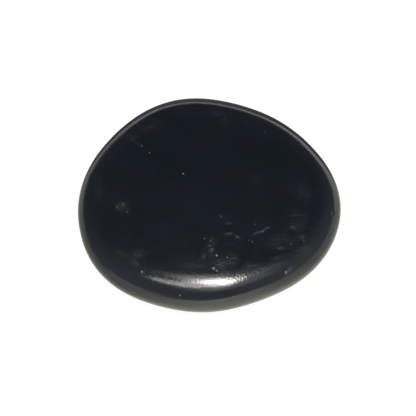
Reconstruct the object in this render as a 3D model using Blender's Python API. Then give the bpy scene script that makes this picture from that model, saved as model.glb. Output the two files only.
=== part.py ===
"""A flat polished shungite stone, lying on its flattest side.

One solid, in metres, with +Z up. The origin is the middle of the face that it rests on,
and +X runs along the stone's longest way across.
"""

import math

import bmesh
import bpy
import numpy as np
from mathutils import Vector, noise

# Driving dimensions, in metres
# Caliper readings from the middle out to the rim, at even steps round from +X towards +Y
REACH = (
    0.02994, 0.02834, 0.02707, 0.02665,
    0.02745, 0.02849, 0.02847, 0.02898,
    0.02994, 0.03048, 0.03008, 0.02844,
    0.02761, 0.02720, 0.02840, 0.02974,
)
GIRTH_HEIGHT = 0.0056  # the widest line stands this far above the table
RISE = 0.0064  # from the girth up to the middle of the top
DROP = 0.0064  # from the girth down to the middle of the belly, before it is worn flat

# Readings of the rim's rounding on the right, back, left and front
SHOULDER = (0.0052, 0.0060, 0.0036, 0.0052)  # how high above the girth it ends
HEEL = (0.0047, 0.0047, 0.0040, 0.0047)  # how far below the girth it ends
ROUNDING = (0.0062, 0.0110, 0.0060, 0.0066)  # how far in from the rim it starts
CURL = 2.5  # power of the rounding's curve: 2 is an arc, and more eases it into the faces

WEAR = 0.0002  # the flat underside blends into the belly over twice this height
SWELL_HEIGHT = 0.00012  # soft unevenness that tumbling leaves on the faces
SWELL_LENGTH = 0.016  # distance over which that unevenness rises and falls

CUTS = 25  # grid cuts along each edge of the starting cube

# The stone's own colour and polish
NEAR_BLACK = (0.010, 0.011, 0.014, 1.0)
POLISH_ROUGHNESS = 0.16


def clear_scene():
    for thing in list(bpy.data.objects):
        bpy.data.objects.remove(thing)


def round_the_stone(readings, azimuth):
    """Smooth closed curve through evenly spaced readings, at these angles."""
    waves = np.fft.rfft(readings) / len(readings)
    curve = np.full_like(azimuth, waves[0].real)
    for turns in range(1, len(waves)):
        share = 1 if 2 * turns == len(readings) else 2
        curve += share * waves[turns].real * np.cos(turns * azimuth)
        curve -= share * waves[turns].imag * np.sin(turns * azimuth)
    return curve


def soft_floor(height):
    """Heights with everything under the table worn to exactly 0, and a smooth way up out of it."""
    blend = (height + WEAR) ** 2 / (4 * WEAR)
    return np.where(height <= -WEAR, 0.0, np.where(height >= WEAR, height, blend))


def unevenness(points):
    """Slow rise and fall over the faces, for each point."""
    return np.array([noise.noise(Vector(point) / SWELL_LENGTH) for point in points]) * SWELL_HEIGHT


def rounded(out, azimuth):
    """The rim's rounding: 0 at the girth (out is 1), rising to 1 where the flatter face starts."""
    into_rim = 1 - (1 - out) * round_the_stone(REACH, azimuth) / round_the_stone(ROUNDING, azimuth)
    return np.sqrt(1 - np.clip(into_rim, 0, 1) ** CURL)


def stone_points(directions):
    """The stone's surface in each of these directions from inside it."""
    azimuth = np.arctan2(directions[:, 1], directions[:, 0])
    polar = np.arccos(directions[:, 2] / np.linalg.norm(directions, axis=1))
    # 0 in the middle of a face and 1 at the girth, with the points closer together at the rim
    out = 1 - (1 - polar / (math.pi / 2)) ** 2
    dome = 1 - out**2
    shoulder = round_the_stone(SHOULDER, azimuth)
    heel = round_the_stone(HEEL, azimuth)
    above = shoulder * rounded(out, azimuth) + (RISE - shoulder) * dome
    below = heel * rounded(out, azimuth) + (DROP - heel) * dome
    reach = round_the_stone(REACH, azimuth) * out
    points = np.stack([reach * np.cos(azimuth), reach * np.sin(azimuth), np.zeros_like(reach)], axis=1)
    height = GIRTH_HEIGHT + np.where(directions[:, 2] >= 0, above, -below)
    points[:, 2] = soft_floor(height + unevenness(points) * dome)
    return points


def centred(points):
    """The points with the middle of their box over the origin."""
    middle = (points.min(axis=0) + points.max(axis=0)) / 2
    middle[2] = 0
    return points - middle


def polished_shungite():
    material = bpy.data.materials.new("polished_shungite")
    material.use_nodes = True
    surface = material.node_tree.nodes["Principled BSDF"]
    surface.inputs["Base Color"].default_value = NEAR_BLACK
    surface.inputs["Roughness"].default_value = POLISH_ROUGHNESS
    surface.inputs["Metallic"].default_value = 0.0
    return material


def make_stone(collection):
    """A cube cut into a grid and blown out into the stone's form."""
    grid = bmesh.new()
    bmesh.ops.create_cube(grid, size=2)
    bmesh.ops.subdivide_edges(grid, edges=grid.edges, cuts=CUTS, use_grid_fill=True)
    corners = np.array([vertex.co for vertex in grid.verts])
    directions = np.tan(corners * math.pi / 4)
    for vertex, point in zip(grid.verts, centred(stone_points(directions))):
        vertex.co = point
    mesh = bpy.data.meshes.new("stone")
    grid.to_mesh(mesh)
    grid.free()
    mesh.shade_smooth()
    mesh.materials.append(polished_shungite())
    stone = bpy.data.objects.new("stone", mesh)
    collection.objects.link(stone)
    return stone


def main():
    clear_scene()
    collection = bpy.data.collections.new("flat_shungite_stone")
    bpy.context.scene.collection.children.link(collection)
    make_stone(collection)


main()
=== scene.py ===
# %% [markdown]
# # A flat polished shungite stone
# The subject is one pebble of black shungite, about 60 mm across, tumbled round and polished.
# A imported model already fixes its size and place, so the script starts by loading it as a frame
# and notes its box. Everything made later is measured against that box.

# %% Load the frame
import math

import bmesh
import bpy
import numpy as np
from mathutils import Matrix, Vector, noise
from mathutils.bvhtree import BVHTree


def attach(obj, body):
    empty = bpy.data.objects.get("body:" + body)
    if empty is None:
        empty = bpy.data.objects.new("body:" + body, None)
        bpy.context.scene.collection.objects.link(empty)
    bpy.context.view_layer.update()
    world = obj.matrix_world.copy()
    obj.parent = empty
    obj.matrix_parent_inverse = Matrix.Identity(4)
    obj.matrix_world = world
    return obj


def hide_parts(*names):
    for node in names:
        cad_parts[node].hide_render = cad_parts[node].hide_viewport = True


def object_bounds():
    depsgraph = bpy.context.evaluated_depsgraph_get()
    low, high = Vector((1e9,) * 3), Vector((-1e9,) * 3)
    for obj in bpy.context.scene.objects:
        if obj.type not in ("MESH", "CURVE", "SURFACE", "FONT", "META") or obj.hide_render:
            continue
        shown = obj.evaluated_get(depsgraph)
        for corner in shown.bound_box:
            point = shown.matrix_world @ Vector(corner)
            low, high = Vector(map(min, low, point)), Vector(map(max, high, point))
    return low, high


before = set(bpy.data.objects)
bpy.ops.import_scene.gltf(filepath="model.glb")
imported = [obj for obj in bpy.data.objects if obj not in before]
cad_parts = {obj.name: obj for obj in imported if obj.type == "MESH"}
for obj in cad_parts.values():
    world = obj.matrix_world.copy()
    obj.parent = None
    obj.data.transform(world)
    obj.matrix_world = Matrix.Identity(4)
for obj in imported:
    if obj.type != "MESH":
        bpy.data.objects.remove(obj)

MM = 0.001
cad_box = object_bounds()
for corner, name in zip(cad_box, ("lowest", "highest")):
    print(f"{name} corner of the packed stone, in mm:", [round(value / MM, 2) for value in corner])

# %% [markdown]
# ## The form
# A tumbled pebble has no flat outline to extrude and no straight side. It could be sculpted, but
# a formula is easier to read and to change. A closed grid is blown out to readings taken round
# the stone: how far the rim reaches, how high its rounding goes, and how far in it starts.
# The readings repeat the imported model's, because this finer skin has to lie on the same form.

# %% Readings round the stone
REACH = np.array((  # from the middle out to the rim, from the right round over the back
    29.94, 28.34, 27.07, 26.65, 27.45, 28.49, 28.47, 28.98,
    29.94, 30.48, 30.08, 28.44, 27.61, 27.20, 28.40, 29.74,
)) * MM
GIRTH_HEIGHT = 5.6 * MM
RISE = 6.4 * MM
DROP = 6.4 * MM
# On the right, back, left and front: the rounding's height above and below the girth, its depth
SHOULDER = np.array((5.2, 6.0, 3.6, 5.2)) * MM
HEEL = np.array((4.7, 4.7, 4.0, 4.7)) * MM
ROUNDING = np.array((6.2, 11.0, 6.0, 6.6)) * MM
CURL = 2.5


def round_the_stone(readings, azimuth):
    """Smooth closed curve through evenly spaced readings, at these angles."""
    waves = np.fft.rfft(readings) / len(readings)
    curve = np.full_like(azimuth, waves[0].real)
    for turns in range(1, len(waves)):
        share = 1 if 2 * turns == len(readings) else 2
        curve += share * waves[turns].real * np.cos(turns * azimuth)
        curve -= share * waves[turns].imag * np.sin(turns * azimuth)
    return curve


print(f"reach from the middle to the rim: {REACH.min() / MM:.1f} to {REACH.max() / MM:.1f} mm")

# %% [markdown]
# The profile is a rounding at the rim, eased into a low dome. Below, the belly is worn flat where
# it meets the table. The wear is a smooth clip, so the pebble leaves the table without a crease.
# Tumbling also leaves the faces softly uneven, over about the width of a finger.

# %% The profile
WEAR = 0.2 * MM
SWELL_HEIGHT = 0.12 * MM
SWELL_LENGTH = 16 * MM


def soft_floor(height):
    """Heights with everything under the table worn to 0, and a smooth way up out of it."""
    blend = (height + WEAR) ** 2 / (4 * WEAR)
    return np.where(height <= -WEAR, 0.0, np.where(height >= WEAR, height, blend))


def slow_noise(points, length):
    """A value that drifts between about -1 and 1 over this length, for each point."""
    return np.array([noise.noise(Vector(point) / length) for point in points])


def rounded(out, azimuth):
    """0 at the girth, rising to 1 where the flatter face starts."""
    into_rim = 1 - (1 - out) * round_the_stone(REACH, azimuth) / round_the_stone(ROUNDING, azimuth)
    return np.sqrt(1 - np.clip(into_rim, 0, 1) ** CURL)


across = np.array((0.0, 0.5, 0.8, 0.9, 1.0))
to_the_right = SHOULDER[0] * rounded(across, np.zeros(5)) + (RISE - SHOULDER[0]) * (1 - across**2)
print("height above the girth towards the right, in mm:", (to_the_right / MM).round(2))

# %% [markdown]
# The grid is a cube, cut fine and then blown out. A cube has no poles, so its squares stay even,
# where a globe's would crowd together in the middle of the polished top. More than half of the
# squares go to the top and the rim, because the underside is only seen when the stone is turned.

# %% Blow a grid out into the stone
CUTS = 123
TOP_SHARE = 0.62


def stone_points(directions):
    """The stone's surface for each of these directions from inside it."""
    azimuth = np.arctan2(directions[:, 1], directions[:, 0])
    down = np.arccos(directions[:, 2] / np.linalg.norm(directions, axis=1)) / math.pi
    on_top = down < TOP_SHARE
    out = 1 - (1 - np.where(on_top, down / TOP_SHARE, (1 - down) / (1 - TOP_SHARE))) ** 2
    dome = 1 - out**2
    shoulder = round_the_stone(SHOULDER, azimuth)
    heel = round_the_stone(HEEL, azimuth)
    above = shoulder * rounded(out, azimuth) + (RISE - shoulder) * dome
    below = heel * rounded(out, azimuth) + (DROP - heel) * dome
    reach = round_the_stone(REACH, azimuth) * out
    points = np.stack([reach * np.cos(azimuth), reach * np.sin(azimuth), np.zeros_like(reach)], axis=1)
    height = GIRTH_HEIGHT + np.where(on_top, above, -below)
    points[:, 2] = soft_floor(height + slow_noise(points, SWELL_LENGTH) * SWELL_HEIGHT * dome)
    middle = (points.min(axis=0) + points.max(axis=0)) / 2
    middle[2] = 0
    return points - middle


def make_stone():
    grid = bmesh.new()
    bmesh.ops.create_cube(grid, size=2)
    bmesh.ops.subdivide_edges(grid, edges=grid.edges, cuts=CUTS, use_grid_fill=True)
    corners = np.array([vertex.co for vertex in grid.verts])
    for vertex, point in zip(grid.verts, stone_points(np.tan(corners * math.pi / 4))):
        vertex.co = point
    mesh = bpy.data.meshes.new("shungite_pebble")
    grid.to_mesh(mesh)
    grid.free()
    mesh.shade_smooth()
    thing = bpy.data.objects.new("shungite_pebble", mesh)
    bpy.context.scene.collection.objects.link(thing)
    return thing


stone = make_stone()
print("triangles in the fine skin:", 2 * len(stone.data.polygons))

# %% [markdown]
# ## Wear
# No real pebble is as true as a formula. Its rim was knocked about in the drum, which leaves it
# faintly rippled, and a few grains broke out and left pits. Both only take stone away, so every
# point moves inwards along its normal. The flat underside is left alone.

# %% Ripples and pits
RIPPLE_LENGTH = 3.4 * MM
RIPPLE_DEPTH = np.array((0.03, 0.035, 0.045, 0.015)) * MM  # right, back, left and front
FACE_SHARE = 0.3  # the broad faces are truer than the rim
RIM_START = (0.7, 0.9)  # the faces pass into the rim between these shares of the reach
FLAT_EDGE = (0.1 * MM, 1.2 * MM)  # the wear eases in between these heights
PITS = (  # place, radius and depth in mm
    (-26.0, -16.0, 6.4, 0.55, 0.16),
    (-25.4, -14.1, 8.6, 0.8, 0.10),
    (-19.2, 15.3, 10.1, 0.9, 0.10),
    (-26.7, 4.7, 9.1, 0.8, 0.08),
    (27.7, -5.5, 9.7, 0.8, 0.10),
    (-16.6, -24.0, 6.6, 0.55, 0.16),
    (-17.9, -23.4, 6.6, 0.45, 0.10),
    (-15.8, -23.9, 7.7, 0.45, 0.10),
    (-19.9, -21.8, 7.4, 0.6, 0.12),
    (-21.1, -20.6, 7.7, 0.7, 0.10),
    (-15.4, -24.7, 5.7, 0.5, 0.12),
    (1.6, -17.2, 11.6, 0.5, 0.05),
    (-6.4, -25.6, 9.3, 0.5, 0.06),
)
CHANCE_PITS = 70
CHANCE_HEIGHTS = (1.2 * MM, 8 * MM)
CHANCE_RADII = (0.3, 0.8)  # in mm
CHANCE_DEPTHS = (0.02, 0.08)
print(f"pits: {len(PITS)} placed and {CHANCE_PITS} by chance, up to {CHANCE_HEIGHTS[1] / MM:.0f} mm up")

# %% [markdown]
# The wear is worked out for all points at once, in arrays, because a loop over some ninety thousand
# points would be slow. A pit is a round-bottomed dip round its middle. The chance pits are drawn
# from a fixed seed, so the stone comes out the same each time.

# %% Wear the stone down
def read_mesh(mesh, what):
    values = np.empty(3 * len(mesh.vertices), dtype=np.float32)
    mesh.vertices.foreach_get(what, values)
    return values.reshape(-1, 3).astype(float)


def smooth_step(values, low, high):
    share = np.clip((values - low) / (high - low), 0, 1)
    return share * share * (3 - 2 * share)


def pit_depths(points, middle, radius, depth):
    """How deep a round-bottomed pit is at each point."""
    near = np.clip(1 - np.sum((points - middle) ** 2, axis=1) / radius**2, 0, 1)
    return depth * near**2


def chance_pits(points, seed=11):
    """Small pits strewn low on the rim, where grains broke out."""
    draw = np.random.default_rng(seed)
    lowest, highest = CHANCE_HEIGHTS
    low_down = np.flatnonzero((points[:, 2] > lowest) & (points[:, 2] < highest))
    for middle in points[draw.choice(low_down, CHANCE_PITS)]:
        yield middle, draw.uniform(*CHANCE_RADII) * MM, draw.uniform(*CHANCE_DEPTHS) * MM


def wear_down(thing):
    mesh = thing.data
    points = read_mesh(mesh, "co")
    normals = read_mesh(mesh, "normal")
    azimuth = np.arctan2(points[:, 1], points[:, 0])
    out = np.hypot(points[:, 0], points[:, 1]) / round_the_stone(REACH, azimuth)
    on_rim = FACE_SHARE + (1 - FACE_SHARE) * smooth_step(out, *RIM_START)
    ripples = 0.5 + 0.5 * slow_noise(points, RIPPLE_LENGTH)
    depth = round_the_stone(RIPPLE_DEPTH, azimuth) * on_rim * ripples
    for x, y, z, radius, deep in PITS:
        depth += pit_depths(points, np.array((x, y, z)) * MM, radius * MM, deep * MM)
    for middle, radius, deep in chance_pits(points):
        depth += pit_depths(points, middle, radius, deep)
    depth *= smooth_step(points[:, 2], *FLAT_EDGE)
    mesh.vertices.foreach_set("co", (points - normals * depth[:, None]).ravel())
    mesh.update()
    return depth


worn = wear_down(stone)
print(f"worn away: {worn.mean() / MM:.3f} mm on average, {worn.max() / MM:.3f} mm in the deepest pit")

# %% [markdown]
# A fine skin has to lie on the solid that it stands for. The largest gap between the two is
# measured from each corner of the solid to the nearest spot on the skin.

# %% Measure the skin against the solid
def largest_gap(solid, skin):
    tree = BVHTree.FromPolygons([v.co for v in skin.vertices], [p.vertices for p in skin.polygons])
    return max(tree.find_nearest(vertex.co)[3] for vertex in solid.vertices)


gap = largest_gap(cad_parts["stone"].data, stone.data)
print(f"largest gap between the solid and the skin: {gap / MM:.3f} mm")

# %% [markdown]
# ## Colours and nodes
# Colours are easiest to write as sRGB hex, the way a picture shows them, but a shader works in
# linear light, so one function turns them. A second one adds a node, sets and links its sockets,
# and hands back one of its outputs. A socket goes by its name or its number. A Map Range takes
# its value in socket 0, the range it comes from in 1 and 2, and the range it goes to in 3 and 4.
# A Mix of colours takes its share in 0 and its colours in 6 and 7, and gives the mix in output 2.

# %% Helpers for materials
ADD = {"operation": "ADD"}
MULTIPLY = {"operation": "MULTIPLY"}
MULTIPLY_CLAMPED = {"operation": "MULTIPLY", "use_clamp": True}
ABSOLUTE = {"operation": "ABSOLUTE"}
EASED = {"interpolation_type": "SMOOTHSTEP"}  # a Map Range that starts and ends gently
SPHERICAL = {"gradient_type": "SPHERICAL"}  # 1 in the middle of a ball, falling to 0 at its edge


def linear(hex_colour):
    """An sRGB colour such as "#17202A" as the linear RGBA that a shader takes."""
    shares = [int(hex_colour[i : i + 2], 16) / 255 for i in (1, 3, 5)]
    return [s / 12.92 if s <= 0.04045 else ((s + 0.055) / 1.055) ** 2.4 for s in shares] + [1.0]


def add_node(tree, kind, settings=(), links=(), out=0):
    """Add a node, set its properties or sockets, link its sockets, and hand back this output."""
    node = tree.nodes.new(kind)
    for name, value in dict(settings).items():
        if isinstance(name, str) and hasattr(node, name):
            setattr(node, name, value)
        else:
            node.inputs[name].default_value = value
    for name, source in dict(links).items():
        tree.links.new(source, node.inputs[name])
    return node.outputs[out] if node.outputs else node


def empty_material(name):
    material = bpy.data.materials.new(name)
    material.use_nodes = True
    material.node_tree.nodes.clear()
    return material, material.node_tree


WHITE = linear("#FFFFFF")
print("a middle grey in linear light:", round(linear("#808080")[0], 3))

# %% [markdown]
# ## Polished shungite: the rock
# Shungite is a rock of glassy carbon, near black all through with a cold, bluish cast. It isn't
# evenly black: richer and poorer patches a few millimetres wide drift into each other. Two slow
# noises mix three blacks that are close together, which gives the eye depth under the gloss.

# %% The rock's own colour
BLACK = linear("#11161B")
BLUE_BLACK = linear("#151922")
BROWN_BLACK = linear("#1A191B")
PATCH = 6 * MM
MOTTLE = 1.6 * MM
TO_BLUE = {1: 0.35, 2: 0.7}  # the levels of noise where the bluer black starts and is full
TO_BROWN = {1: 0.52, 2: 0.8}


def rock_colour(tree, place):
    patches = add_node(tree, "ShaderNodeTexNoise", {"Scale": 1 / PATCH, "Detail": 3.0}, {"Vector": place})
    bluer = add_node(tree, "ShaderNodeMapRange", TO_BLUE, {0: patches})
    mottle = add_node(tree, "ShaderNodeTexNoise", {"Scale": 1 / MOTTLE, "Detail": 4.0}, {"Vector": place})
    browner = add_node(tree, "ShaderNodeMapRange", TO_BROWN, {0: mottle})
    cold = add_node(tree, "ShaderNodeMix", {"data_type": "RGBA", 6: BLACK, 7: BLUE_BLACK},
                    {0: bluer}, out=2)
    return add_node(tree, "ShaderNodeMix", {"data_type": "RGBA", 7: BROWN_BLACK},
                    {0: browner, 6: cold}, out=2)


print("shungite black in linear light:", [round(value, 4) for value in BLACK[:3]])

# %% [markdown]
# ## Polished shungite: pale specks
# Grains of quartz and pyrite in the carbon show as pale specks about a third of a millimetre
# wide. Those that stand out are placed one by one, each as a small ball of paler colour where it
# meets the top. Under the girth a sparse scatter is enough, from cells of which few hold a grain.

# %% Specks
SPECKS = (  # x, y, radius in mm and how pale
    (-13.7, 9.5, 0.19, 0.39), (-5.9, 3.5, 0.22, 0.47), (1.6, -17.2, 0.29, 0.33),
    (3.9, -17.7, 0.21, 0.21), (-1.1, -13.1, 0.24, 0.17), (9.4, -13.8, 0.21, 0.14),
    (8.6, -13.5, 0.17, 0.09), (-14.7, -20.6, 0.29, 0.29), (-6.4, -25.7, 0.21, 0.24),
    (11.9, -11.2, 0.26, 0.14), (0.9, -20.3, 0.43, 0.27), (1.6, -20.8, 0.31, 0.25),
    (18.2, 4.1, 0.21, 0.09), (-19.3, -3.8, 0.28, 0.11), (-20.6, -4.6, 0.31, 0.09),
    (-18.3, -5.9, 0.26, 0.10), (-15.4, 11.4, 0.22, 0.06), (10.1, -9.5, 0.21, 0.08),
    (18, -14.3, 0.21, 0.11), (20.7, -13.2, 0.26, 0.11), (20.5, -12.2, 0.22, 0.08),
    (16.7, -20.4, 0.39, 0.17), (12.7, 14.8, 0.21, 0.06), (3.6, 18.6, 0.26, 0.06),
)
SPECK_GAIN = 1.6  # a ball is only at its palest in the middle
SPECK_CELL = 3.6 * MM
SPECK_SHARE = 0.16  # of the cells, those that hold a grain
SPECK_EDGE = {1: 0.085, 2: 0.03}  # where a grain starts and is full, as shares of a cell


def placed_specks(tree, flat_place):
    so_far = {}  # socket 2 of the next sum
    for x, y, radius, pale in SPECKS:
        spot = {"vector_type": "TEXTURE", "Location": (x * MM, y * MM, 0), "Scale": (radius * MM,) * 3}
        at = add_node(tree, "ShaderNodeMapping", spot, {"Vector": flat_place})
        ball = add_node(tree, "ShaderNodeTexGradient", SPHERICAL, {"Vector": at}, out="Fac")
        paler = {"operation": "MULTIPLY_ADD", 1: SPECK_GAIN * pale, 2: 0.0}
        so_far = {2: add_node(tree, "ShaderNodeMath", paler, {0: ball, **so_far})}
    return so_far[2]


def strewn_specks(tree, place):
    cells = add_node(tree, "ShaderNodeTexVoronoi", {"Scale": 1 / SPECK_CELL}, {"Vector": place}).node
    grain = add_node(tree, "ShaderNodeMapRange", SPECK_EDGE, {0: cells.outputs["Distance"]})
    chance = add_node(tree, "ShaderNodeSeparateColor", {}, {"Color": cells.outputs["Color"]}, out="Red")
    held = add_node(tree, "ShaderNodeMath", {"operation": "LESS_THAN", 1: SPECK_SHARE}, {0: chance})
    return add_node(tree, "ShaderNodeMath", MULTIPLY, {0: grain, 1: held})


print(f"specks: {len(SPECKS)} placed, the widest {2 * max(speck[2] for speck in SPECKS):.2f} mm across")

# %% [markdown]
# ## Polished shungite: smears
# Where the last polish missed a spot, the skin keeps a thin grey haze: short rubbed strokes, a
# small cluster of dots on the left, and a sheaf of slanting strokes at the right end of the
# bright reflection. Each is an ellipse that fades outwards, broken up by streaks along it.

# %% Smears
SMEARS = (  # x, y, half length and half width in mm, turn in degrees, how strong
    (-19.6, -4.5, 1.9, 1.7, 0, 0.18),
    (-17.5, 13.8, 1.3, 1.0, -20, 0.10), (-16.2, 11.9, 1.7, 0.6, -35, 0.12),
    (3.4, 17.5, 2.0, 1.3, 10, 0.09), (2.3, 20.2, 2.6, 0.7, -3, 0.14),
    (4.2, -11.9, 1.5, 0.5, 8, 0.26), (6.1, -12.7, 1.2, 0.5, -38, 0.26),
    (4.4, -9.3, 1.3, 0.7, 5, 0.19), (2.7, -7.6, 0.9, 1.0, 60, 0.11),
    (10.6, -11.7, 1.7, 0.55, 24, 0.27), (12.4, -10.7, 1.8, 0.5, 30, 0.23),
    (18.9, -10.2, 2.0, 0.9, -5, 0.14), (20.3, -12.7, 1.5, 1.0, -40, 0.16),
    (15.6, -15.3, 1.1, 0.45, 18, 0.28), (14.8, -17.6, 1.8, 0.5, 22, 0.15),
    (-15.8, -16.5, 2.8, 1.7, 5, 0.09), (-19.4, -16.2, 2.6, 1.2, -35, 0.08),
    (-16.3, -18.5, 1.8, 1.2, -40, 0.13), (-1.2, -17.5, 1.0, 1.8, 0, 0.14),
    (0.4, -15.5, 1.1, 3.4, 0, 0.21), (2.6, -19.4, 2.6, 1.9, 0, 0.19),
    (5.2, -18.2, 1.7, 2.0, 0, 0.14), (-3.0, -19.6, 3.8, 1.0, 0, 0.10),
    (12.8, -20.2, 3.6, 1.3, 24, 0.15), (15.9, -18.6, 2.8, 0.9, 24, 0.07),
    (9.0, -19.7, 2.8, 1.3, 10, 0.11), (17.4, -19.9, 1.7, 0.5, 42, 0.28),
    (15.6, -13.6, 5.0, 2.6, 8, 0.08), (19.5, -8.5, 3.0, 4.0, 0, 0.06),
    (21.2, -1.2, 2.6, 2.8, 0, 0.06), (10.6, 1.8, 2.8, 1.6, 10, 0.05),
    (20.8, -15.6, 2.2, 1.6, 20, 0.07), (-13.5, 16.5, 4.5, 2.2, 25, 0.05),
    (-25.0, 0.5, 1.6, 4.5, 10, 0.05),
)
STREAKS = (1.1, 5.5, 1.0)  # along the half length, across the half width, and in height
BREAK_UP = {"operation": "MULTIPLY_ADD", 1: -2.4, 2: 1.55}  # thins a smear in streaks, to a third on average
SMEAR_GAIN = 2  # makes up for most of what that takes away


def smears(tree, flat_place):
    so_far = {}
    for x, y, length, width, turn, strong in SMEARS:
        spot = {"vector_type": "TEXTURE", "Location": (x * MM, y * MM, 0),
                "Rotation": (0, 0, math.radians(turn)), "Scale": (length * MM, width * MM, 1)}
        at = add_node(tree, "ShaderNodeMapping", spot, {"Vector": flat_place})
        fade = add_node(tree, "ShaderNodeTexGradient", SPHERICAL, {"Vector": at}, out="Fac")
        drawn_out = add_node(tree, "ShaderNodeMapping", {"Location": (x, y, 0), "Scale": STREAKS},
                             {"Vector": at})
        streaks = add_node(tree, "ShaderNodeTexNoise", {"Scale": 1.0, "Detail": 3.0}, {"Vector": drawn_out})
        broken = add_node(tree, "ShaderNodeMath", BREAK_UP, {0: streaks})
        stroke = add_node(tree, "ShaderNodeMath", MULTIPLY_CLAMPED, {0: fade, 1: broken})
        stronger = {"operation": "MULTIPLY_ADD", 1: SMEAR_GAIN * strong, 2: 0.0}
        so_far = {2: add_node(tree, "ShaderNodeMath", stronger, {0: stroke, **so_far})}
    return so_far[2]


print("smears:", len(SMEARS))

# %% [markdown]
# ## Polished shungite: where the marks are
# The marks above are flat patterns, so each needs a gate that says how high up the stone it may
# show. The rim also gets a haze of its own. The drum polishes a rim less evenly than a face, which
# leaves it mottled in patches about a millimetre wide.

# %% Gates and the rim's haze
DULL_PATCH = 1.1 * MM
RIM_HAZE = {1: 0.42, 2: 0.75, 4: 0.09}  # the levels of noise where it starts and is full, its strength
FADE_HEIGHT = GIRTH_HEIGHT + 0.5 * MM
TOP_GATE = {1: GIRTH_HEIGHT, 2: FADE_HEIGHT}  # shut at the first height and open at the second
BELOW_GATE = {1: FADE_HEIGHT, 2: GIRTH_HEIGHT}
RIM_GATE = {1: 9.2 * MM, 2: 8.0 * MM}


def haze_and_specks(tree, place):
    height = add_node(tree, "ShaderNodeSeparateXYZ", {}, {"Vector": place}, out="Z")
    top, below, rim = (add_node(tree, "ShaderNodeMapRange", gate, {0: height})
                       for gate in (TOP_GATE, BELOW_GATE, RIM_GATE))
    flat_place = add_node(tree, "ShaderNodeVectorMath", {**MULTIPLY, 1: (1, 1, 0)}, {0: place})
    dull = add_node(tree, "ShaderNodeTexNoise", {"Scale": 1 / DULL_PATCH, "Detail": 3.0}, {"Vector": place})
    mottled = add_node(tree, "ShaderNodeMapRange", RIM_HAZE, {0: dull})
    rubbed, rim_haze, placed, strewn = (
        add_node(tree, "ShaderNodeMath", MULTIPLY_CLAMPED, {0: mark, 1: gate})
        for mark, gate in ((smears(tree, flat_place), top), (mottled, rim),
                           (placed_specks(tree, flat_place), top), (strewn_specks(tree, place), below)))
    haze = add_node(tree, "ShaderNodeMath", ADD, {0: rubbed, 1: rim_haze})
    return haze, add_node(tree, "ShaderNodeMath", {"operation": "MAXIMUM"}, {0: placed, 1: strewn})


print(f"the marks of the top are full from {FADE_HEIGHT / MM:.1f} mm above the table upwards")

# %% [markdown]
# ## Polished shungite: the finish
# Tumbling with finer and finer grit leaves shungite glossy but not a mirror. Glassy carbon bends
# light more than quartz does, so the index of refraction is high for a stone. The grit leaves a
# grain too fine to draw at its real few hundredths of a millimetre, so it is drawn at half a
# millimetre, which frays the edge of a bright reflection in the same way. The haze is rougher, and
# the back of the stone took a finer polish, which keeps the bright line along its rim thin.

# %% Put the finish together
PALE_GRAIN = linear("#B9BDC2")
HAZE_GREY = linear("#6A7078")
GLASSY_CARBON_IOR = 1.8
GRIT = 0.5 * MM
GRAIN_HEIGHT = 0.02 * MM
GRAIN_ROUGHNESS = 0.06
HAZE_PATCH = 4 * MM
HAZE_ROUGHNESS = 0.12
POLISH = {1: 0.3, 2: 0.7, 3: 0.08, 4: 0.11}  # roughness 0.08 to 0.11, by the level of noise
BACK_POLISH = {1: 0.0, 2: 12 * MM, 3: 1.0, 4: 0.6}  # falls to 0.6 of itself by 12 mm behind the middle


def roughness(tree, place, grain, haze):
    patches = add_node(tree, "ShaderNodeTexNoise", {"Scale": 1 / HAZE_PATCH, "Detail": 3.0},
                       {"Vector": place})
    polish = add_node(tree, "ShaderNodeMapRange", POLISH, {0: patches})
    grainy = add_node(tree, "ShaderNodeMath", {"operation": "MULTIPLY_ADD", 1: GRAIN_ROUGHNESS},
                      {0: grain, 2: polish})
    hazy = add_node(tree, "ShaderNodeMath", {"operation": "MULTIPLY_ADD", 1: HAZE_ROUGHNESS},
                    {0: haze, 2: grainy})
    back = add_node(tree, "ShaderNodeSeparateXYZ", {}, {"Vector": place}, out="Y")
    finer = add_node(tree, "ShaderNodeMapRange", BACK_POLISH, {0: back})
    return add_node(tree, "ShaderNodeMath", MULTIPLY, {0: hazy, 1: finer})


def polished_shungite():
    material, tree = empty_material("polished_shungite")
    place = add_node(tree, "ShaderNodeTexCoord", out="Object")
    haze, specks = haze_and_specks(tree, place)
    hazed = add_node(tree, "ShaderNodeMix", {"data_type": "RGBA", 7: HAZE_GREY},
                     {0: haze, 6: rock_colour(tree, place)}, out=2)
    coloured = add_node(tree, "ShaderNodeMix", {"data_type": "RGBA", 7: PALE_GRAIN},
                        {0: specks, 6: hazed}, out=2)
    grain = add_node(tree, "ShaderNodeTexNoise", {"Scale": 1 / GRIT, "Detail": 2.0}, {"Vector": place})
    bump = add_node(tree, "ShaderNodeBump", {"Strength": 1.0, "Distance": GRAIN_HEIGHT}, {"Height": grain})
    surface = add_node(tree, "ShaderNodeBsdfPrincipled", {"IOR": GLASSY_CARBON_IOR}, {
        "Base Color": coloured, "Roughness": roughness(tree, place, grain, haze), "Normal": bump})
    add_node(tree, "ShaderNodeOutputMaterial", {}, {"Surface": surface})
    return material


stone.data.materials.append(polished_shungite())
print("nodes in the finish:", len(stone.data.materials[0].node_tree.nodes))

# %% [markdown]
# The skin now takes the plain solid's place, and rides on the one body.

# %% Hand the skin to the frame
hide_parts("stone")
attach(stone, "root")
print("the skin stands for the solid called stone")

# %% [markdown]
# ## The table
# The stone lies on a plain pale sheet lit from inside, as on a light table, so it has no shadow
# under it. The sheet is opal acrylic, cast matt: mostly its own light, with a little of what falls
# on it. A sheet that only reflects could be lit to the same white, but it would be darker close to
# the stone.

# %% Light table
TABLE_WIDTH = 8
TABLE_GLOW = 0.93
OPAL_GREY = linear("#6E6E6E")
MATT_ROUGHNESS = 0.9


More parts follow.
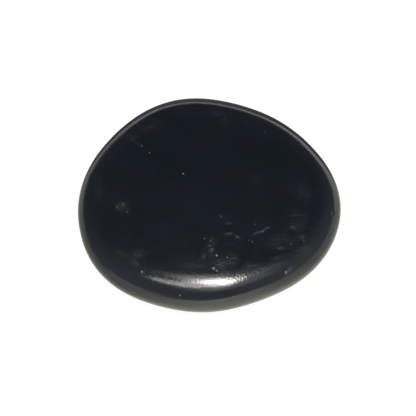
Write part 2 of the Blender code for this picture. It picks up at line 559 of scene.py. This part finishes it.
def glowing_acrylic():
    material, tree = empty_material("glowing_acrylic")
    surface = add_node(tree, "ShaderNodeBsdfPrincipled", {
        "Base Color": OPAL_GREY, "Roughness": MATT_ROUGHNESS, "Specular IOR Level": 0.0,
        "Emission Color": WHITE, "Emission Strength": TABLE_GLOW})
    add_node(tree, "ShaderNodeOutputMaterial", {}, {"Surface": surface})
    return material


bpy.ops.mesh.primitive_plane_add(size=TABLE_WIDTH)
floor = bpy.context.object
floor.name = "pale_floor"
floor.data.materials.append(glowing_acrylic())
print(f"the table is {TABLE_WIDTH} m wide, so no camera sees its edge")

# %% [markdown]
# ## Soft light from above
# On black polish the light is seen as its own reflection, so the lamp's shape matters more than
# its power. A softbox is a lamp behind white cloth: brightest in the middle, and fading out to its
# edge. Each panel's glow is added to what is behind it, so that one never hides another.

# %% The glow of a softbox
WARM_CLOTH = linear("#FFFDF6")


def fading_glow(power, soft):
    """Even light that fades out over this share of the way from a panel's edge to its middle."""
    material, tree = empty_material("fading_glow")
    place = add_node(tree, "ShaderNodeTexCoord", out="Object")
    inwards = add_node(tree, "ShaderNodeTexGradient", SPHERICAL, {"Vector": place}, out="Fac")
    strength = add_node(tree, "ShaderNodeMapRange", {**EASED, 2: soft, 4: power}, {0: inwards})
    glow = add_node(tree, "ShaderNodeEmission", {"Color": WARM_CLOTH}, {"Strength": strength})
    clear = add_node(tree, "ShaderNodeBsdfTransparent")
    both = add_node(tree, "ShaderNodeAddShader", {}, {0: glow, 1: clear})
    add_node(tree, "ShaderNodeOutputMaterial", {}, {"Surface": both})
    return material


print("the cloth's tint in linear light:", [round(value, 3) for value in WARM_CLOTH[:3]])

# %% [markdown]
# Four flat panels hang a metre over the stone: the bright middle, the box round it, its faded back
# edge and a wide haze. One lamp with all four in its pattern would do too, but separate panels can
# be turned and moved while the highlight is compared.

# %% Hang the panels
LAMP_HEIGHT = 1.0


def panel(name, at, half_size, power, turn, soft):
    """A flat lamp overhead, sized and placed in metres, that the camera doesn't see."""
    bpy.ops.mesh.primitive_plane_add(size=2, location=(*at, LAMP_HEIGHT))
    thing = bpy.context.object
    thing.rotation_euler.z = math.radians(turn)
    thing.name = name
    thing.scale = (*half_size, 1)
    thing.data.materials.append(fading_glow(power, soft))
    thing.visible_camera = False
    thing.visible_shadow = False


panel("softbox_middle", (0.10, -0.29), (0.44, 0.15), 30, turn=-67, soft=0.8)
panel("softbox", (-0.08, -0.30), (0.36, 0.23), 7.8, turn=-11, soft=0.3)
panel("softbox_fade", (-0.06, 0.00), (0.22, 0.34), 3.0, turn=0, soft=1.0)
panel("softbox_haze", (0.15, -0.62), (0.50, 0.80), 0.9, turn=60, soft=1.0)

# %% [markdown]
# ## The room in the polish
# The rest of what a polished stone shows is the room: dim overhead, paler near the horizon, and
# with a window low on the front left. Each part is a glow that eases in or out with the way that
# a reflection leaves the stone: x to the right, y to the back and z up, each between -1 and 1.

# %% The parts of the room
# Of each glow overhead, where it starts and is full, and how strong it is
BOTH_SIDES = {**EASED, 1: 0.10, 2: 0.80, 4: 0.05}
RIGHT_SIDE = {**EASED, 1: 0.3, 2: 1.0, 4: 0.08}
FRONT_SIDE = {**EASED, 1: 0.65, 2: -0.75, 4: 0.18}
BACK_SIDE = {**EASED, 1: 0.5, 2: 0.95, 4: 0.03}
# Of the pale band, how it tightens in front, its middle, how it fades aside, and how it fades upwards
TIGHTER = {**EASED, 1: -0.3, 2: 0.3, 3: 1.5, 4: 1.0}
BAND_MIDDLE = {"operation": "SUBTRACT", 1: 0.12}
BAND_FADE = {**EASED, 1: 0.4, 2: 0.85, 3: 0.95, 4: 0.15}
BAND_TOP = {**EASED, 1: 0.05, 2: 0.20, 3: 1.0, 4: 0.0}
# Of the window, where it is, how it starts aside and how strong it is, and how it fades upwards
FRONT_LEFT = {"operation": "DOT_PRODUCT", 1: (-0.707, -0.707, 0)}
PANE = {**EASED, 1: 0.88, 2: 0.97, 4: 0.36}
PANE_TOP = {**EASED, 1: 0.12, 2: 0.27, 3: 1.0, 4: 0.0}


def overhead_glow(tree, x, y):
    """A little light from the sides, more from the right and from in front, and some from behind."""
    aside = add_node(tree, "ShaderNodeMath", ABSOLUTE, {0: x})
    total = None
    for part, along in ((BOTH_SIDES, aside), (RIGHT_SIDE, x), (FRONT_SIDE, y), (BACK_SIDE, y)):
        glow = add_node(tree, "ShaderNodeMapRange", part, {0: along})
        total = add_node(tree, "ShaderNodeMath", ADD, {0: total, 1: glow}) if total else glow
    return total


def horizon_glow(tree, x, y, z):
    """A pale band round the room, strong behind and in front, and drawn in tighter in front."""
    tighter = add_node(tree, "ShaderNodeMapRange", TIGHTER, {0: y})
    off_middle = add_node(tree, "ShaderNodeMath", BAND_MIDDLE, {0: x})
    aside = add_node(tree, "ShaderNodeMath", ABSOLUTE, {0: off_middle})
    spread = add_node(tree, "ShaderNodeMath", MULTIPLY, {0: aside, 1: tighter})
    height = add_node(tree, "ShaderNodeMath", MULTIPLY, {0: z, 1: tighter})
    round_room = add_node(tree, "ShaderNodeMapRange", BAND_FADE, {0: spread})
    low = add_node(tree, "ShaderNodeMapRange", BAND_TOP, {0: height})
    return add_node(tree, "ShaderNodeMath", MULTIPLY, {0: round_room, 1: low})


def window_glow(tree, way, z):
    towards = add_node(tree, "ShaderNodeVectorMath", FRONT_LEFT, {0: way}, out="Value")
    pane = add_node(tree, "ShaderNodeMapRange", PANE, {0: towards})
    low = add_node(tree, "ShaderNodeMapRange", PANE_TOP, {0: z})
    return add_node(tree, "ShaderNodeMath", MULTIPLY, {0: pane, 1: low})


print(f"glow of the horizon up to {BAND_FADE[3]}, of the window up to {PANE[4]}")

# %% [markdown]
# A large dome carries the parts together. Only reflections see it, so the room can be tuned
# without changing how the table is lit. A picture of a real room could be wrapped round the stone
# instead, but it would show what that room holds.

# %% Hang the room
ROOM_RADIUS = 3
COLD_WALLS = linear("#F2F4FF")


def only_mirrored(thing):
    thing.visible_camera = False
    thing.visible_diffuse = False
    thing.visible_shadow = False
    thing.visible_transmission = False


def dim_room():
    material, tree = empty_material("dim_room")
    place = add_node(tree, "ShaderNodeTexCoord", out="Object")
    way = add_node(tree, "ShaderNodeVectorMath", {"operation": "NORMALIZE"}, {0: place})
    x, y, z = add_node(tree, "ShaderNodeSeparateXYZ", {}, {"Vector": way}).node.outputs
    low_down = add_node(tree, "ShaderNodeMath", ADD,
                        {0: horizon_glow(tree, x, y, z), 1: window_glow(tree, way, z)})
    total = add_node(tree, "ShaderNodeMath", ADD, {0: overhead_glow(tree, x, y), 1: low_down})
    glow = add_node(tree, "ShaderNodeEmission", {"Color": COLD_WALLS}, {"Strength": total})
    add_node(tree, "ShaderNodeOutputMaterial", {}, {"Surface": glow})
    return material


bpy.ops.mesh.primitive_uv_sphere_add(radius=ROOM_RADIUS, segments=48, ring_count=24)
room = bpy.context.object
room.name = "dim_room"
room.data.materials.append(dim_room())
only_mirrored(room)
print("nodes in the room:", len(room.data.materials[0].node_tree.nodes))

# %% [markdown]
# ## What the rim mirrors of the table
# The rim looks down on the table, and a glowing table would light it white all round. A sheet
# just over the table paints shade into what the rim mirrors: a painted fall-off of the table's
# glow leaves the rim grey in front and darker at the sides, and a painted shadow behind the stone
# leaves it dark there, with a thin bright line where that shadow ends. The sheet only filters
# reflections, so the table stays white to the camera.

# %% How the sheet lets light through
# Of the painted fall-off of the table's glow: the way it points, how sharply it gathers there,
# and what is left of it
ALONG_FRONT = {"operation": "DOT_PRODUCT", 1: (0.087, -0.996, 0)}
GATHERED = {"operation": "POWER", 1: 6.0}
ASIDE_AND_ALONG = {3: 0.46, 4: 0.95}
CLOSE_BY = {**EASED, 1: 30 * MM, 2: 40 * MM, 3: 0.35, 4: 0.0}
LEFT_FALL = {**EASED, 1: -100 * MM, 2: -35 * MM, 3: 0.62}
BACK_RISE = {**EASED, 2: 30 * MM, 3: 1.0, 4: 1.5}
# Of the painted shadow behind the stone, how it widens, its side edges, its front edge,
# and what it lets through
WIDENING = {"operation": "MULTIPLY_ADD", 1: -0.12}
SIDE_EDGES = {**EASED, 1: 36 * MM, 2: 45 * MM, 3: 1.0, 4: 0.0}
FRONT_EDGE = {**EASED, 1: 6 * MM, 2: 20 * MM}
LET_THROUGH = {3: 1.0, 4: 0.12}


def lit_share(tree, place, x, y):
    """Painted fall-off of the table's glow: the share left is more in front, behind, and close to the stone.
    """
    way = add_node(tree, "ShaderNodeVectorMath", {"operation": "NORMALIZE"}, {0: place})
    facing = add_node(tree, "ShaderNodeVectorMath", ALONG_FRONT, {0: way}, out="Value")
    along = add_node(tree, "ShaderNodeMath", ABSOLUTE, {0: facing})
    peaked = add_node(tree, "ShaderNodeMath", GATHERED, {0: along})
    ends = add_node(tree, "ShaderNodeMapRange", ASIDE_AND_ALONG, {0: peaked})
    away = add_node(tree, "ShaderNodeVectorMath", {"operation": "LENGTH"}, {0: place}, out="Value")
    close = add_node(tree, "ShaderNodeMapRange", CLOSE_BY, {0: away})
    glow = add_node(tree, "ShaderNodeMath", ADD, {0: ends, 1: close})
    left = add_node(tree, "ShaderNodeMapRange", LEFT_FALL, {0: x})
    behind = add_node(tree, "ShaderNodeMapRange", BACK_RISE, {0: y})
    share = add_node(tree, "ShaderNodeMath", MULTIPLY, {0: left, 1: behind})
    return add_node(tree, "ShaderNodeMath", MULTIPLY, {0: glow, 1: share})


def unshaded_share(tree, x, y):
    """Painted shadow: all the light off it, little on it, in a strip behind the stone that widens backwards.
    """
    aside = add_node(tree, "ShaderNodeMath", ABSOLUTE, {0: x})
    wedge = add_node(tree, "ShaderNodeMath", WIDENING, {0: y, 2: aside})
    across = add_node(tree, "ShaderNodeMapRange", SIDE_EDGES, {0: wedge})
    behind = add_node(tree, "ShaderNodeMapRange", FRONT_EDGE, {0: y})
    mask = add_node(tree, "ShaderNodeMath", MULTIPLY, {0: across, 1: behind})
    return add_node(tree, "ShaderNodeMapRange", LET_THROUGH, {0: mask})


print(f"the mask starts {FRONT_EDGE[1] / MM:.0f} mm behind the middle and lets {LET_THROUGH[4]:.0%} through")

# %% [markdown]
# The sheet is only a filter on reflections, clear and smooth: it dims the table's reflection with
# the painted shade above, and tints it slightly warm.

# %% Lay the sheet of painted shade
SHADE_FILTER_TINT = linear("#FFFFEF")[:3]
SHEET_WIDTH = 6
SHEET_HEIGHT = 0.3 * MM


def painted_shade_filter():
    material, tree = empty_material("painted_shade_filter")
    place = add_node(tree, "ShaderNodeTexCoord", out="Object")
    x, y, _ = add_node(tree, "ShaderNodeSeparateXYZ", {}, {"Vector": place}).node.outputs
    share = add_node(tree, "ShaderNodeMath", MULTIPLY_CLAMPED,
                     {0: lit_share(tree, place, x, y), 1: unshaded_share(tree, x, y)})
    tint = add_node(tree, "ShaderNodeVectorMath", {"operation": "SCALE", 0: SHADE_FILTER_TINT}, {"Scale": share})
    through = add_node(tree, "ShaderNodeBsdfTransparent", {}, {"Color": tint})
    add_node(tree, "ShaderNodeOutputMaterial", {}, {"Surface": through})
    return material


# The sheet of painted shade: the camera doesn't see it, only the stone's reflections do.
bpy.ops.mesh.primitive_plane_add(size=SHEET_WIDTH, location=(0, 0, SHEET_HEIGHT))
sheet = bpy.context.object
sheet.name = "painted_shade_sheet"
sheet.data.materials.append(painted_shade_filter())
only_mirrored(sheet)
print(f"the smoked sheet lies {SHEET_HEIGHT / MM:.1f} mm over the table")

# %% [markdown]
# A dome of plain white paper closes the background for low cameras. Only the camera sees it. The
# world adds a little even light, and the polish doesn't mirror it.

# %% White surroundings
BACKDROP_RADIUS = 3.4
EVEN_LIGHT = 0.3
PALE_WALLS = linear("#F4F4F4")


def white_paper():
    material, tree = empty_material("white_paper")
    glow = add_node(tree, "ShaderNodeEmission", {"Color": WHITE, "Strength": 1.0})
    add_node(tree, "ShaderNodeOutputMaterial", {}, {"Surface": glow})
    return material


bpy.ops.mesh.primitive_uv_sphere_add(radius=BACKDROP_RADIUS, segments=48, ring_count=24)
backdrop = bpy.context.object
backdrop.name = "white_backdrop"
backdrop.data.materials.append(white_paper())
backdrop.visible_diffuse = False
backdrop.visible_glossy = False
backdrop.visible_shadow = False
backdrop.visible_transmission = False

world = bpy.data.worlds.new("room_light")
bpy.context.scene.world = world
world.use_nodes = True
world.node_tree.nodes["Background"].inputs["Color"].default_value = PALE_WALLS
world.node_tree.nodes["Background"].inputs["Strength"].default_value = EVEN_LIGHT
world.cycles_visibility.glossy = False
print("even light from all round:", EVEN_LIGHT)

# %% [markdown]
# ## The camera
# The stone is seen from its front and well above, with a long lens, so the outline is hardly
# drawn together towards the back. The point looked at is a little off the middle, which sets the
# stone in the picture where it lies in the photograph. The plain view transform keeps the white
# table white.

# %% Camera
ELEVATION = math.radians(60)
DISTANCE = 0.291
FOCAL_LENGTH = 110.5
SENSOR_WIDTH = 36
LOOK_AT = Vector((-0.306, -2.005, 5.895)) * MM

lens = bpy.data.cameras.new("camera")
lens.lens = FOCAL_LENGTH
lens.sensor_width = SENSOR_WIDTH
lens.clip_start = 10 * MM
camera = bpy.data.objects.new("camera", lens)
bpy.context.scene.collection.objects.link(camera)
towards_camera = Vector((0, -math.cos(ELEVATION), math.sin(ELEVATION)))
camera.location = LOOK_AT + towards_camera * DISTANCE
camera.rotation_euler = towards_camera.to_track_quat("Z", "Y").to_euler()
bpy.context.scene.camera = camera
bpy.context.scene.view_settings.view_transform = "Standard"
print(f"the frame takes in {SENSOR_WIDTH / FOCAL_LENGTH * DISTANCE / MM:.1f} mm at the stone")
